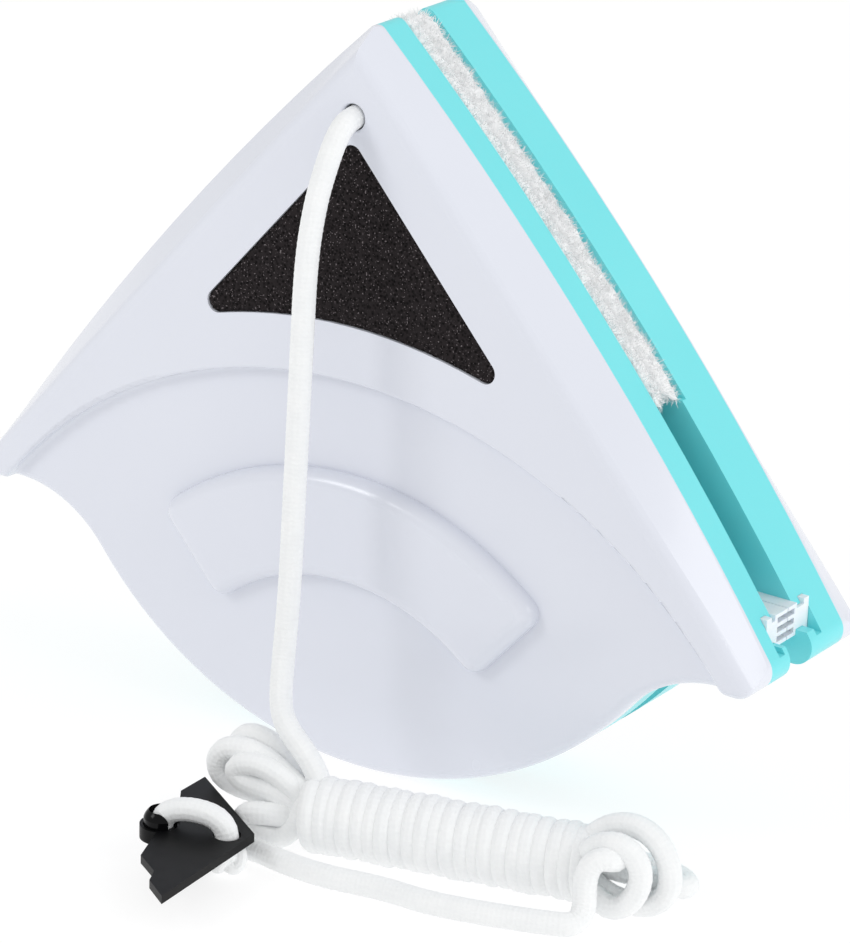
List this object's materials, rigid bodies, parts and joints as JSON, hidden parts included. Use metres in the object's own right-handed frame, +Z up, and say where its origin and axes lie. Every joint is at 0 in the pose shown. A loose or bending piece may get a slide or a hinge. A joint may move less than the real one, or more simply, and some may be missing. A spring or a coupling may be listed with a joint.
{
  "type": "magnetic glass cleaner",
  "caption": "Magnetic glass cleaner: two triangular shells with fleece pads and squeegees that clamp a pane between them, with a braided safety cord wound in a hank and a cord lock.",
  "frame": {"origin": "middle of the cleaner's box at the floor, where its round edge stands", "axes": "+X across the cleaner's long edge, +Y from the front half through the glass to the back half, +Z up to its point"},
  "size_m": [0.2156, 0.138, 0.1756],
  "materials": {
    "shell_abs": "gloss",
    "base_abs": "gloss",
    "foam": "cellular",
    "hook_tape": "hook",
    "fleece": "pile",
    "silicone": "satin",
    "tray_plastic": "matte",
    "magnet": "plated",
    "yoke_steel": "zinc plated",
    "screw_steel": "plated",
    "cord_braid": "braided",
    "lock_plastic": "satin",
    "spring_steel": "bright"
  },
  "bodies": {
    "front_half": {"front_shell": "shell_abs", "front_base": "base_abs", "front_foam": "foam", "front_hook_tape": "hook_tape", "front_fleece_pad": "fleece", "front_squeegee": "silicone", "front_magnet_tray": "tray_plastic", "front_magnets": "magnet", "front_yoke": "yoke_steel", "front_screws": "screw_steel", "cord": "cord_braid", "cord_hank": "cord_braid", "cord_tail": "cord_braid", "anchor_knot": "cord_braid", "end_knot": "cord_braid", "lock_body": "lock_plastic", "lock_spring": "spring_steel"},
    "back_half": {"back_shell": "shell_abs", "back_base": "base_abs", "back_foam": "foam", "back_hook_tape": "hook_tape", "back_fleece_pad": "fleece", "back_squeegee": "silicone", "back_magnet_tray": "tray_plastic", "back_magnets": "magnet", "back_yoke": "yoke_steel", "back_screws": "screw_steel"},
    "button": {"lock_button": "lock_plastic"}
  },
  "joints": [
    {"name": "halves_apart", "type": "slide", "parent": "front_half", "child": "back_half", "axis": [0, 1, 0], "range_m": [0, 0.03], "stiffness_N_per_m": 400, "springref_m": -0.02},
    {"name": "button_press", "type": "slide", "parent": "front_half", "child": "button", "axis": [0, 0, -1], "range_m": [0, 0.0008], "stiffness_N_per_m": 500, "springref_m": -0.003, "deforming": ["lock_spring"]}
  ]
}
